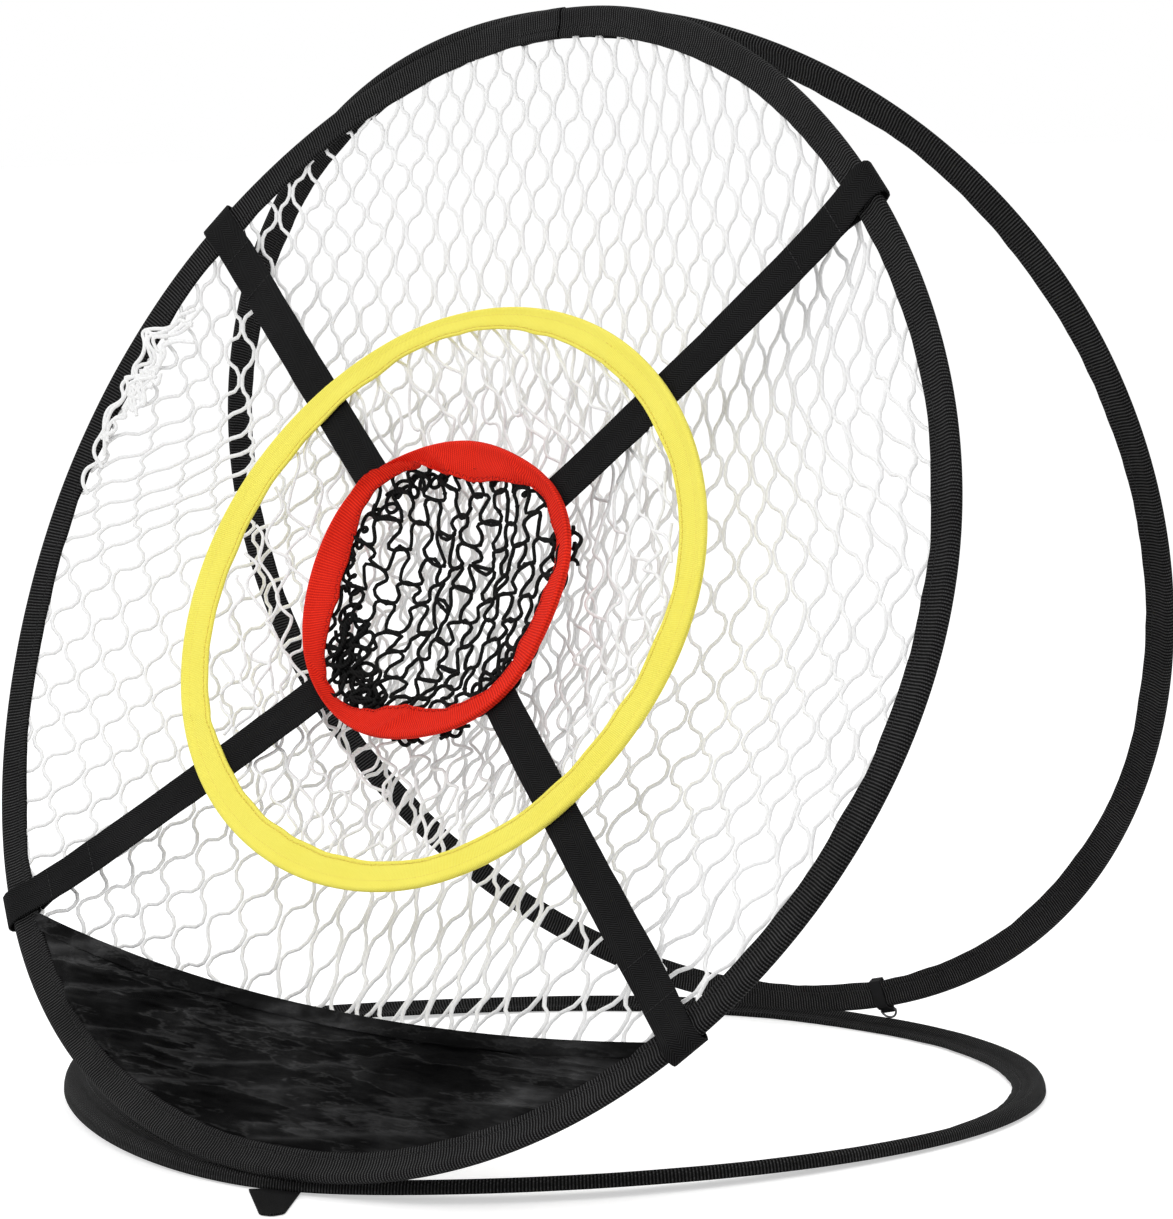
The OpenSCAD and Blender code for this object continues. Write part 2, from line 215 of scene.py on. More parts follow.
def ribbedWebbing(name, look):
    # ribs run across the band, with fine warp threads along it
    material, tree, shader, calc = newMaterial(name)
    along, across = bandAxes(tree)
    rib = stripes(calc, calc("MULTIPLY", along, fullTurn / look["rib"]))
    step = calc("MULTIPLY", calc("FLOOR", calc("DIVIDE", along, look["rib"])), 0.5)
    warp = calc("ADD", calc("DIVIDE", across, look["thread"]), step)
    thread = stripes(calc, calc("MULTIPLY", warp, fullTurn))
    height = calc("MULTIPLY_ADD", thread, 0.35, rib)
    fuzz = objectNoise(tree, scale=900, detail=2)
    height = calc("MULTIPLY_ADD", fuzz, 0.35, height)
    patch = objectNoise(tree, scale=26, detail=4, roughness=0.6)
    # painted light: the colour follows the relief, the rib crests painted lighter as highlight and the
    # grooves darker as shade; the patch noise adds random tone
    toneWithPaintedLight = calc("POWER", calc("MULTIPLY", height, 0.66), look["contrast"])
    toneWithPaintedLight = calc("MULTIPLY", toneWithPaintedLight, calc("ADD", patch, 0.5))
    blendColour(tree, shader, toneWithPaintedLight, look)
    bumpFrom(tree, shader, height, look["depth"], strength=0.9)
    shader.inputs["Sheen Weight"].default_value = look["sheen"]
    setFinish(shader, look)
    return material


def twillWebbing(name, look):
    # herringbone: diagonal ridges that change direction at every chevron line
    material, tree, shader, calc = newMaterial(name)
    along, across = bandAxes(tree)
    zig = calc("PINGPONG", across, look["chevron"])
    slant = calc("ADD", calc("DIVIDE", along, look["ridge"]), calc("DIVIDE", zig, look["ridge"]))
    ridge = stripes(calc, calc("MULTIPLY", slant, fullTurn))
    fuzz = objectNoise(tree, scale=1100, detail=2)
    height = calc("MULTIPLY_ADD", fuzz, 0.4, ridge)
    patch = objectNoise(tree, scale=34, detail=4, roughness=0.6)
    # painted light: the ridge crests are painted lighter as highlight and the hollows darker as shade; the
    # patch noise adds random tone
    toneWithPaintedLight = calc("POWER", calc("MULTIPLY", height, 0.7), 1.8)
    toneWithPaintedLight = calc("MULTIPLY", toneWithPaintedLight, calc("ADD", patch, 0.4))
    blendColour(tree, shader, toneWithPaintedLight, look)
    bumpFrom(tree, shader, height, look["depth"], strength=0.8)
    setFinish(shader, look)
    return material


def twistedCord(name, look):
    # fine twisted yarn: a slanted ply pattern and soft colour change, painted darker in the ply grooves as
    # painted shade, with random fibre tone
    material, tree, shader, calc = newMaterial(name)
    fibre = objectNoise(tree, look["fibre"], detail=3, roughness=0.65)
    coords = tree.nodes.new("ShaderNodeTexCoord")
    ply = tree.nodes.new("ShaderNodeTexWave")
    ply.wave_type = "BANDS"
    ply.bands_direction = "DIAGONAL"
    for socket, value in (("Scale", look["ply"]), ("Distortion", 2.5), ("Detail", 1)):
        ply.inputs[socket].default_value = value
    tree.links.new(coords.outputs["Object"], ply.inputs["Vector"])
    height = calc("MULTIPLY_ADD", fibre, 0.7, ply.outputs["Fac"])
    blendColour(tree, shader, calc("MULTIPLY", height, 0.6), look)
    bumpFrom(tree, shader, height, look["depth"], strength=0.7)
    setFinish(shader, look)
    return material


def satinCloth(name, look):
    # close plain weave with crinkles that run from side to side, with painted highlights along their crests
    material, tree, shader, calc = newMaterial(name)
    along, across = bandAxes(tree)
    warp = calc("SINE", calc("MULTIPLY", along, fullTurn / look["thread"]))
    weft = calc("SINE", calc("MULTIPLY", across, fullTurn / look["thread"]))
    crinkle = objectNoise(tree, scale=160, detail=5, roughness=0.6)
    height = calc("MULTIPLY_ADD", calc("MULTIPLY", warp, weft), 0.12, crinkle)
    drawn = flatPoint(tree, *(calc("MULTIPLY", axis, k) for axis, k in zip((along, across), look["drawn"])))
    streak = noiseAt(tree, drawn, scale=1, detail=5, roughness=0.62)
    patch = calc("MULTIPLY", objectNoise(tree, scale=13, detail=4, roughness=0.6), streak)
    # painted highlight: patches along the streaks are painted bright, as the satin's sheen on its crinkles
    toneWithPaintedLight = calc("POWER", calc("MULTIPLY", patch, look["shine"]), 5.0)
    facet = tree.nodes.new("ShaderNodeTexVoronoi")
    facet.feature = "DISTANCE_TO_EDGE"
    facet.inputs["Scale"].default_value = look["facet"]
    bent = flatPoint(tree, *(calc("MULTIPLY_ADD", streak, bend, calc("MULTIPLY", axis, scale))
                             for axis, scale, bend in zip((along, across), look["facets"], look["bend"])))
    tree.links.new(bent, facet.inputs["Vector"])
    # painted glints: thin bright lines along the facets' edges, where crease crests would catch the light;
    # they also raise the bump
    line = calc("SUBTRACT", 1, calc("MULTIPLY", facet.outputs["Distance"], look["crisp"]))
    line = calc("POWER", calc("MAXIMUM", line, 0), 2)
    line = calc("MULTIPLY", line, calc("MULTIPLY", patch, look["glint"]))
    # painted light: the colour is painted brighter towards the left end, as the light falls there
    fade = calc("MULTIPLY_ADD", along, look["fade"], 1)     # the left end catches more light
    toneWithPaintedLight = calc("MINIMUM", calc("MULTIPLY", calc("ADD", toneWithPaintedLight, line), fade), 1)
    blendColour(tree, shader, toneWithPaintedLight, look)
    height = calc("ADD", calc("MULTIPLY_ADD", streak, 3.0, height), line)
    bumpFrom(tree, shader, height, look["depth"], strength=0.6)
    setFinish(shader, look)
    tree.links.new(calc("MULTIPLY_ADD", crinkle, 0.18, look["rough"]), shader.inputs["Roughness"])
    return material


def drawnWire(name, look):
    # hard-drawn steel: fine streaks and a little dulling
    material, tree, shader, calc = newMaterial(name)
    streak = objectNoise(tree, scale=420, detail=4, roughness=0.7)
    blendColour(tree, shader, objectNoise(tree, scale=40), look)
    bumpFrom(tree, shader, streak, distance=0.05 * mm, strength=0.4)
    setFinish(shader, dict(look, metal=1))
    tree.links.new(calc("MULTIPLY_ADD", streak, 0.2, look["rough"]), shader.inputs["Roughness"])
    return material


def wovenTape(name, look):
    material, tree, shader, calc = newMaterial(name)
    blendColour(tree, shader, objectNoise(tree, scale=60, detail=4), look)
    bumpFrom(tree, shader, objectNoise(tree, scale=1400, detail=2), look["depth"], strength=0.7)
    setFinish(shader, look)
    return material


# the webbings' dark and light colours are the ends of their painted shade and painted highlight; contrast
# sets how sharply the crests are painted bright
blackRibbed = ribbedWebbing("blackRibbedWebbing", dict(
    rib=1.7 * mm, thread=0.9 * mm, depth=0.4 * mm, dark=(0.0008, 0.0008, 0.0008), light=(0.078, 0.078, 0.079),
    contrast=3.2, rough=0.75, sheen=0, gloss=0.05))
blackTwill = twillWebbing("blackTwillWebbing", dict(
    chevron=5 * mm, ridge=1.5 * mm, depth=0.25 * mm, dark=(0.001, 0.001, 0.001), light=(0.03, 0.03, 0.031),
    rough=0.78, gloss=0.05))
yellowRibbed = ribbedWebbing("yellowRibbedWebbing", dict(
    rib=1.0 * mm, thread=0.8 * mm, depth=0.14 * mm, dark=(0.90, 0.76, 0.07), light=(0.99, 0.92, 0.17),
    contrast=1.0, rough=0.8, sheen=0.05, gloss=0.15))
redRibbed = ribbedWebbing("redRibbedWebbing", dict(
    rib=1.5 * mm, thread=0.9 * mm, depth=0.25 * mm, dark=(0.52, 0.006, 0.003), light=(1.0, 0.036, 0.012),
    contrast=1.3, rough=0.75, sheen=0, gloss=0.12))
whiteCord = twistedCord("whiteNetCord", dict(
    fibre=1500, ply=180, depth=0.1 * mm, dark=(0.92, 0.92, 0.92), light=(0.99, 0.99, 0.99),
    rough=0.8, gloss=0.15))
blackCord = twistedCord("blackNetCord", dict(
    fibre=1500, ply=260, depth=0.15 * mm, dark=(0.002, 0.002, 0.002), light=(0.013, 0.013, 0.013),
    rough=0.65, gloss=0.06))
sewingThread = dict(fibre=1800, ply=500, depth=0.08 * mm, rough=0.6, gloss=0.15)
blackThread = twistedCord("blackThread", dict(
    sewingThread, dark=(0.004, 0.004, 0.004), light=(0.035, 0.035, 0.036)))
yellowThread = twistedCord("yellowThread", dict(
    sewingThread, dark=(0.78, 0.6, 0.06), light=(0.98, 0.84, 0.2)))
redThread = twistedCord("redThread", dict(
    sewingThread, dark=(0.22, 0.003, 0.002), light=(0.5, 0.012, 0.008)))
# the satin's light colour, shine, glint and fade set its painted highlights, painted glints and the painted
# brightening of its left end
satin = dict(thread=0.5 * mm, facet=1.3, facets=(10, 45), bend=(3.0, 2.0), crisp=9, shine=2.6, fade=-2.2,
             gloss=0.02)
blackSatin = satinCloth("blackSatinCloth", dict(
    satin, depth=0.7 * mm, drawn=(12, 70), glint=1.6, rough=0.28, dark=(0.0004, 0.0004, 0.0005),
    light=(0.062, 0.062, 0.063)))
blackHemSatin = satinCloth("blackHemSatin", dict(
    satin, depth=0.4 * mm, drawn=(20, 60), glint=1.0, rough=0.36, dark=(0.0006, 0.0006, 0.0007),
    light=(0.05, 0.05, 0.051)))
springWire = drawnWire("springWire", dict(dark=(0.34, 0.35, 0.37), light=(0.56, 0.57, 0.59), rough=0.32))
ferruleSteel = drawnWire("ferruleSteel", dict(dark=(0.45, 0.46, 0.48), light=(0.7, 0.71, 0.73), rough=0.3))
clipSteel = drawnWire("clipSteel", dict(dark=(0.10, 0.10, 0.105), light=(0.22, 0.22, 0.23), rough=0.35))
blackTape = wovenTape("blackTape", dict(
    depth=0.2 * mm, dark=(0.002, 0.002, 0.002), light=(0.016, 0.016, 0.017), rough=0.75, gloss=0.1))
print("materials made")


# making and placing pieces

def finishPiece(name, bm, material, body, node=None, place=None, smooth=True):
    # a piece is modelled flat, bowed with its hoop and put in the hoop's plane, unless it has its own place
    if place is None:
        place = planes[body]
        for v in bm.verts:
            bowPoint(v.co, body)
    bmesh.ops.transform(bm, matrix=place, verts=bm.verts)
    mesh = bpy.data.meshes.new(name)
    bm.to_mesh(mesh)
    bm.free()
    mesh.materials.append(material)
    for face in mesh.polygons:
        face.use_smooth = smooth
    piece = bpy.data.objects.new(name, mesh)
    bpy.context.scene.collection.objects.link(piece)
    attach(piece, body)
    if node:
        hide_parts(node)
    return piece


def thicken(piece, thick, edge=0):
    wall = piece.modifiers.new("thickness", "SOLIDIFY")
    wall.thickness = thick
    wall.offset = 0
    if edge:
        soft = piece.modifiers.new("softEdge", "BEVEL")
        soft.width = edge
        soft.segments = 2
        soft.limit_method = "ANGLE"


def clothGrid(cols, rows, put):
    # put gives a corner's place and its uv from its shares across and up the grid
    bm = bmesh.new()
    bmesh.ops.create_grid(bm, x_segments=cols, y_segments=rows, size=1)
    layer = bm.loops.layers.uv.new("band")
    spots = {v: put((v.co.x + 1) / 2, (v.co.y + 1) / 2) for v in bm.verts}
    for face in bm.faces:
        for loop in face.loops:
            loop[layer].uv = spots[loop.vert][1]
    for v in bm.verts:
        v.co = spots[v][0]
    bmesh.ops.remove_doubles(bm, verts=bm.verts, dist=0.01 * mm)
    bmesh.ops.recalc_face_normals(bm, faces=bm.faces)
    return bm


def loopSection(bm, points, start=0.0):
    # a closed outline in the x-z plane, turned to where its run starts
    corners = [bm.verts.new((x, 0, z)) for x, z in points]
    edges = [bm.edges.new((corners[i - 1], corners[i])) for i in range(len(corners))]
    bmesh.ops.rotate(bm, verts=corners, cent=(0, 0, 0), matrix=Matrix.Rotation(start, 3, "Z"))
    return corners + edges


def roundSection(bm, thick, sides, radius, height, start=0.0):
    # the same for a wire
    ring = bmesh.ops.create_circle(bm, cap_ends=False, segments=sides, radius=thick / 2)["verts"]
    bmesh.ops.transform(bm, verts=ring, matrix=Matrix.Rotation(start, 4, "Z")
                        @ Matrix.Translation((radius, 0, height)) @ Matrix.Rotation(math.pi / 2, 4, "X"))
    return bm.verts[:] + bm.edges[:]


def turnSection(bm, section, angle, steps):
    # a whole turn closes on itself; a part of one is closed at its ends
    whole = angle == fullTurn
    bmesh.ops.spin(bm, geom=section, cent=(0, 0, 0), axis=(0, 0, 1), angle=angle, steps=steps,
                   use_merge=whole, use_duplicate=False)
    if not whole:
        bmesh.ops.holes_fill(bm, edges=[e for e in bm.edges if e.is_boundary], sides=0)
    bmesh.ops.recalc_face_normals(bm, faces=bm.faces)


def bandUv(bm, radius, back=0.0):
    # metres round the hoop and metres across the band, with its back kept apart from its front
    backShift = 0.05
    layer = bm.loops.layers.uv.new("band")
    for face in bm.faces:
        base = bandAngle(face.calc_center_median())
        for loop in face.loops:
            co = loop.vert.co
            angle = base + turnFrom(base, bandAngle(co))
            side = math.hypot(co.x, co.y) - radius
            loop[layer].uv = (angle * radius, side if co.z > back else -side - backShift)


def stitchBar(bm, thread, length, place):
    # one stitch, a slim bar across the direction of its place
    bar = bmesh.ops.create_cone(bm, segments=5, radius1=thread, radius2=thread, depth=length, cap_ends=True,
                                cap_tris=False)["verts"]
    bmesh.ops.transform(bm, verts=bar, matrix=place @ Matrix.Rotation(math.pi / 2, 4, "X"))


def wave(angle, seed, amount, turns=3.0):
    # smooth change round a hoop that closes on itself
    return amount * noise.noise(onDisc(angle, turns, seed))


# hoop sleeves: a fold of webbing round the wire, sewn shut near its inner edge

sleeve = dict(bulge=3.3 * mm, edge=2.4 * mm, width=16 * mm, lying=False, twist=(0, 1, 0))
sleeves = {
    "target": dict(sleeve, outer=305 * mm, steps=480, seed=1.3),
    "rear": dict(sleeve, outer=293.19 * mm, steps=460, seed=4.1),
    "base": dict(sleeve, outer=245 * mm, steps=400, seed=8.6, lying=True,
                 twist=(math.radians(229), 0.5, 10 * mm)),
}


def sleeveOutline(size):
    # distance in from the outer edge, and half the thickness there; one that lies on the floor is flat below
    b, e, w = size["bulge"], size["edge"] / 2, size["width"]
    steps = [(0.0, 0.0), (0.05 * b, 0.32 * b), (0.22 * b, 0.62 * b), (0.55 * b, 0.9 * b), (b, b),
             (1.5 * b, 0.86 * b), (2.1 * b, 0.62 * b), (2.8 * b, 0.46 * b), (w - 5.6 * mm, 1.22 * e),
             (w - 4.6 * mm, 1.1 * e), (w - 4.1 * mm, 0.7 * e), (w - 3.6 * mm, 1.05 * e),
             (w - 1.4 * mm, 1.0 * e), (w - 0.35 * mm, 0.72 * e), (w, 0.0)]
    top, low = (2, 0) if size["lying"] else (1, -1)
    front = [(size["outer"] - d, h * top) for d, h in steps]
    return front + [(size["outer"] - d, h * low) for d, h in reversed(steps[1:-1])]


def twistRise(size, angle, inward):
    # the inner edge stands up where the band is drawn towards the hoop it is sewn to
    middle, spread, rise = size["twist"]
    return rise * inward * math.exp(-(turnFrom(middle, angle) / spread) ** 2)


def sleeveSlack(size, angle, inward):
    # how far the loose inner part of the webbing is drawn in, and how far it leaves its plane
    seed = size["seed"]
    pull = wave(angle, seed, 0.9 * mm, 5) * inward + wave(angle, seed + 3, 0.5 * mm, 26) * inward ** 2
    if size["lying"]:
        return pull, wave(angle, seed + 7, 0.4 * mm, 12) * inward
    ruffle = wave(angle, seed + 9, 0.5 * mm, 30) * inward ** 2
    return pull, wave(angle, seed + 7, 1.3 * mm, 7) * inward + ruffle


def slackenSleeve(bm, size):
    for v in bm.verts:
        angle = bandAngle(v.co)
        inward = clamp((size["outer"] - math.hypot(v.co.x, v.co.y)) / size["width"])
        pull, slack = sleeveSlack(size, angle, inward)
        if size["lying"] and v.co.z <= 0.5 * mm:
            slack = 0       # its underside stays on the floor
        v.co += onDisc(angle, -pull, slack + twistRise(size, angle, inward))


def hoopSleeve(body, size):
    bm = bmesh.new()
    turnSection(bm, loopSection(bm, sleeveOutline(size)), fullTurn, size["steps"])
    bandUv(bm, size["outer"], size["bulge"] if size["lying"] else 0.0)
    slackenSleeve(bm, size)
    finishPiece(body + "HoopSleeve", bm, blackRibbed, body, body + "_sleeve")


seamStitches = dict(inset=4.1 * mm, pitch=3.6 * mm, length=2.808 * mm, thread=0.32 * mm, slant=0.08)


def sleeveSeam(body, size):
    # a line of stitches near the sleeve's inner edge, on both faces where both are seen
    bm = bmesh.new()
    inward = size["width"] - seamStitches["inset"]
    radius, share = size["outer"] - inward, inward / size["width"]
    count = int(fullTurn * radius / seamStitches["pitch"])
    faces = (0.92,) if size["lying"] else (0.42, -0.42)     # heights as shares of the edge's thickness
    for height in faces:
        for i in range(count):
            angle = fullTurn * i / count
            pull, slack = sleeveSlack(size, angle, share)
            put = (radius - pull, 0, size["edge"] * height + slack + twistRise(size, angle, share))
            stitchBar(bm, seamStitches["thread"], seamStitches["length"], Matrix.Rotation(angle, 4, "Z")
                      @ Matrix.Translation(put) @ Matrix.Rotation(seamStitches["slant"], 4, "Z"))
    finishPiece(body + "SleeveSeam", bm, blackThread, body)


sleeveLaps = dict(length=30 * mm, steps=12, proud=0.55 * mm, thicker=1.3 * mm, wider=0.9 * mm)


def sleeveLap(body, size, degrees):
    # where the sleeve's two ends overlap: the outer end's fold stands a little proud
    bm = bmesh.new()
    grown = dict(size, bulge=size["bulge"] + sleeveLaps["proud"], edge=size["edge"] + sleeveLaps["thicker"],
                 outer=size["outer"] + sleeveLaps["proud"], width=size["width"] + sleeveLaps["wider"])
    span = sleeveLaps["length"] / size["outer"]
    section = loopSection(bm, sleeveOutline(grown), math.radians(degrees) - span / 2)
    turnSection(bm, section, span, sleeveLaps["steps"])
    bandUv(bm, size["outer"])
    slackenSleeve(bm, size)
    finishPiece(body + "SleeveLap", bm, blackRibbed, body)


# the tape's inner face, as distance in from the sleeve's outer edge and height over the sleeve's middle
seamTapes = dict(length=84 * mm, steps=40, thick=0.5 * mm,
                 skin=((8.3 * mm, 1.95 * mm), (10.4 * mm, 1.72 * mm), (15.3 * mm, 1.44 * mm)))


def seamTape(name, body, node, degrees, side):
    # a short tape sewn flat along the sleeve where it is joined to its neighbour
    size, thick = sleeves[body], seamTapes["thick"]
    skin = [(d, h * (2 if size["lying"] else 1)) for d, h in seamTapes["skin"]]
    outline = [(size["outer"] - d, side * h) for d, h in skin]
    outline += [(size["outer"] - d, side * (h + thick)) for d, h in reversed(skin)]
    bm = bmesh.new()
    span = seamTapes["length"] / size["outer"]
    section = loopSection(bm, outline, math.radians(degrees) - span / 2)
    turnSection(bm, section, span, seamTapes["steps"])
    bandUv(bm, size["outer"])
    slackenSleeve(bm, size)
    finishPiece(name, bm, blackTwill, body, node, smooth=False)


for body, size in sleeves.items():
    hoopSleeve(body, size)
for body, size in sleeves.items():
    sleeveSeam(body, size)
sleeveLap("target", sleeves["target"], 96)
sleeveLap("rear", sleeves["rear"], 203)
seamTape("frontSeamBaseTape", "base", "front_hinge_base_leaf", -90, 1)
seamTape("frontSeamTargetTape", "target", "front_hinge_target_leaf", -90, -1)
seamTape("topSeamTargetTape", "target", "top_hinge_target_leaf", 90, -1)
seamTape("topSeamRearTape", "rear", "top_hinge_rear_leaf", 90, 1)
print("hoop sleeves made")


# target rings: each one's outline and inner edge are a mean and waves of one turn and more, in mm
# the tip is the lean of its band, and each fold is an angle, its slope inward, its spread and its rise

rings = {
    "middle": dict(
        outer=160.5 * mm, width=15.5 * mm, bulge=1.95 * mm, thick=1.7 * mm, steps=300, x=-5 * mm, y=-3.5 * mm,
        lift=2.9 * mm, tip=0.0, tipWave=0.12, ripple=0.9 * mm, bow=1.2 * mm, buckle=1.3 * mm, seed=2.2,
        waves=(-0.6, -0.6 - 0.3j, 8.0 + 4.2j, -1.1 + 0.9j, 0.3 + 0.8j),
        inner=(-1.4, 0.1 + 1.2j, 5.9 + 3.5j, -0.6 + 0.1j, 0.5 + 1.4j),
        folds=((205, 6, 0.03, 1.2), (62, -5, 0.03, 1.0))),
    "centre": dict(
        outer=83 * mm, width=16.5 * mm, bulge=1.95 * mm, thick=1.8 * mm, steps=320, x=-9.5 * mm, y=0.5 * mm,
        lift=3.6 * mm, tip=0.30, tipWave=0.25, ripple=1.2 * mm, bow=0.8 * mm, buckle=2.0 * mm, seed=5.7,
        waves=(-0.6, 1.3 + 0.2j, 4.1 + 0.4j, -0.1 + 1.4j, -0.9 + 0.1j, -0.4 + 0.6j, -0.5 + 0.3j),
        inner=(2.0, 0.3 + 0.5j, 4.3 + 0.7j, 2.1 + 1.8j, -5.7 + 0.4j, -0.2 + 0.5j),
        folds=((145, -34, 0.06, 5.0), (136, -34, 0.05, -2.5), (112, -14, 0.04, 1.8), (208, 16, 0.05, 2.0),
               (262, 18, 0.05, 1.8), (70, -20, 0.04, 1.6))),
}


def ringPoint(size, angle, radius, height=0.0):
    # the flat band tips about its wire, and the soft wire is a little out of round
    seed, inward = size["seed"], size["outer"] - radius
    tip = size["tip"] + wave(angle, seed, size["tipWave"], 2.2)
    away = inward * math.cos(tip) + height * math.sin(tip)
    out = height * math.cos(tip) - inward * math.sin(tip)
    turn = complex(math.cos(angle), math.sin(angle))
    part = clamp(inward / size["width"])
    grow = 0.0
    for share, waves in ((1 - part, size["waves"]), (part, size["inner"])):
        turns = sum((waves[k].conjugate() * turn ** k).real for k in range(1, len(waves)))
        grow += share * mm * (waves[0] + turns)
    out += wave(angle, seed + 11, size["buckle"], 6) * part
    for start, slope, spread, rise in size["folds"]:
        off = turnFrom(math.radians(start + slope * part), angle)
        out += rise * mm * math.exp(-(off / spread) ** 2) * min(1.0, part * 4)
    ripple = wave(angle, seed + 5, size["ripple"], 9) * min(1, inward / size["width"])
    lift = size["lift"] + out + wave(angle, seed + 8, size["bow"], 1.5)
    return onDisc(angle, size["outer"] - away + grow + ripple, lift) + Vector((size["x"], size["y"], 0))


def shapeRing(bm, size):
    for v in bm.verts:
        v.co = ringPoint(size, bandAngle(v.co), math.hypot(v.co.x, v.co.y), v.co.z)


def ringBand(name, size, webbing):
    w, b, t = size["width"], size["bulge"], size["thick"]
    steps = [(0.0, 0.0), (0.1 * b, 0.5 * b), (0.5 * b, 0.92 * b), (b, b), (1.6 * b, 0.8 * b),
             (2.3 * b, 0.5 * b), (0.45 * w, 0.5 * t), (0.62 * w, 0.5 * t), (w - 2.6 * mm, 0.5 * t),
             (w - 2.1 * mm, 0.28 * t), (w - 1.6 * mm, 0.5 * t), (w - 0.3 * mm, 0.4 * t), (w, 0.0)]
    outline = [(size["outer"] - d, h) for d, h in steps]
    outline += [(size["outer"] - d, -h) for d, h in reversed(steps[1:-1])]
    bm = bmesh.new()
    turnSection(bm, loopSection(bm, outline), fullTurn, size["steps"])
    bandUv(bm, size["outer"])
    shapeRing(bm, size)
    finishPiece(name + "RingBand", bm, webbing, "target", name + "_ring_sleeve")


def ringSeam(name, size, row, material):
    # a row of stitches on the band's face; a zigzag one where they slant
    bm = bmesh.new()
    radius = size["outer"] - row["inward"]
    count = int(fullTurn * radius / row["pitch"])
    for i in range(count):
        angle = fullTurn * i / count
        slant = row["slant"] if i % 2 else -row["slant"]
        put = Matrix.Translation(ringPoint(size, angle, radius, size["thick"] * 0.45))
        stitchBar(bm, row["thread"], row["pitch"] * 0.8, put @ Matrix.Rotation(angle + slant, 4, "Z"))
    finishPiece(name, bm, material, "target")


yellowRow = dict(pitch=2.6 * mm, thread=0.24 * mm, slant=0.1)
redRow = dict(inward=14.9 * mm, pitch=2.2 * mm, thread=0.26 * mm, slant=0.7)
ringBand("middle", rings["middle"], yellowRibbed)
ringBand("centre", rings["centre"], redRibbed)
for name, inward in (("middleRingInnerSeam", 13.4 * mm), ("middleRingOuterSeam", 5.4 * mm)):
    ringSeam(name, rings["middle"], dict(yellowRow, inward=inward), yellowThread)
ringSeam("centreRingInnerSeam", rings["centre"], redRow, redThread)
print("rings made")


# straps

strap = dict(width=20 * mm, thick=1.15 * mm, edge=0.25 * mm, flat=252, flatSteps=16, cols=8,
             barCount=6, barLength=2.3 * mm, barThread=0.3 * mm, barInset=2 * mm,
             bars=((277, 1.75), (249, 0.62)))
# its path round the hoop's sleeve and back under itself: distance from the hoop's centre and height, in mm
strapFold = [(266, 0.2), (276, 1.0), (284, 2.0), (290, 2.9), (296, 3.8), (300, 4.4), (303.8, 4.1),
             (306.7, 2.9), (307.8, 1.0), (307.8, -1.0), (306.7, -2.9), (303.8, -4.1), (300, -4.4),
             (296, -3.8), (290, -2.9), (285.5, -2.1), (280, -1.6), (270, -1.35), (258, -1.3), (246, -1.3)]


def strapPath(end):
    # from the free end under the centre ring, round the hoop and back
    steps, reach = strap["flatSteps"], strap["flat"] * mm
    run = [(end + (reach - end) * k / steps, 0.0) for k in range(steps + 1)]
    return run + [(r * mm, h * mm) for r, h in strapFold]


def strapPiece(name, angle, end, node, seed):
    half, path = strap["width"] / 2, strapPath(end)
    travelled = [0.0]
    for a, b in zip(path, path[1:]):
        travelled.append(travelled[-1] + math.dist(a, b))

    def put(along, across):
        # its flat run droops, and it narrows where it turns round the sleeve and still more at its tail
        i, t = round(along * (len(path) - 1)), -1 + 2 * across
        (r, h), s = path[i], travelled[i]
        edge = 0.35 * mm * noise.noise(Vector((s * 60, seed, t)))
        droop = 0.5 * mm * noise.noise(Vector((s * 25, seed + 4, t * 0.8))) if s < 0.17 else 0
        pinch = 1 - 0.06 * math.exp(-((r - 290 * mm) / (9 * mm)) ** 2)
        if h < 0:
            pinch -= 0.2 * clamp((294 * mm - r) / (14 * mm))
        return (r, (half * t + edge * abs(t)) * pinch, h + droop), (s, strap["width"] * across)

    spoke = Matrix.Rotation(angle, 3, "Z")
    bm = clothGrid(len(path) - 1, strap["cols"], put)
    bmesh.ops.rotate(bm, verts=bm.verts, cent=(0, 0, 0), matrix=spoke)
    piece = finishPiece(name, bm, blackTwill, "target", node)
    thicken(piece, strap["thick"], strap["edge"])
    stitches = bmesh.new()
    side = half - strap["barInset"]
    for r, rise in strap["bars"]:
        for k in range(strap["barCount"]):
            across = -side + 2 * side * k / (strap["barCount"] - 1)
            place = Matrix.Translation((r * mm, across, rise * mm))
            stitchBar(stitches, strap["barThread"], strap["barLength"], place)
    bmesh.ops.rotate(stitches, verts=stitches.verts, cent=(0, 0, 0), matrix=spoke)
    finishPiece(name + "Stitches", stitches, blackThread, "target")


def ringEdge(angle, share):
    # a point of the centre ring's band, at a share of its width in from its outer edge
    size = rings["centre"]
    return ringPoint(size, angle, size["outer"] - share * size["width"])


def strapEnd(angle):
    # the free end hides behind the outer third of the centre ring's band
    spots = [ringEdge(math.radians(a), 0.3) for a in range(360)]
    return min(spots, key=lambda spot: abs(turnFrom(angle, bandAngle(spot)))).to_2d().length


strapPlaces = [("strapUpperRight", 44.8, "strap_upper_right"), ("strapUpperLeft", 142.4, "strap_upper_left"),
               ("strapLowerLeft", 220.2, "strap_lower_left"), ("strapLowerRight", 316.4, "strap_lower_right")]
for number, (name, degrees, node) in enumerate(strapPlaces):
    angle = math.radians(degrees)
    strapPiece(name, angle, strapEnd(angle), node, 3.1 * number)
print("straps made")


# nets: yarns that run side by side along every upright, as in knotless netting. For each net, bag is how far
# it starts behind its rim, its depth, and a step near the rim with how steeply it comes; rippled is its
# ripples' scales across and up and their seed; apart is how far the curls of two neighbouring yarns differ.

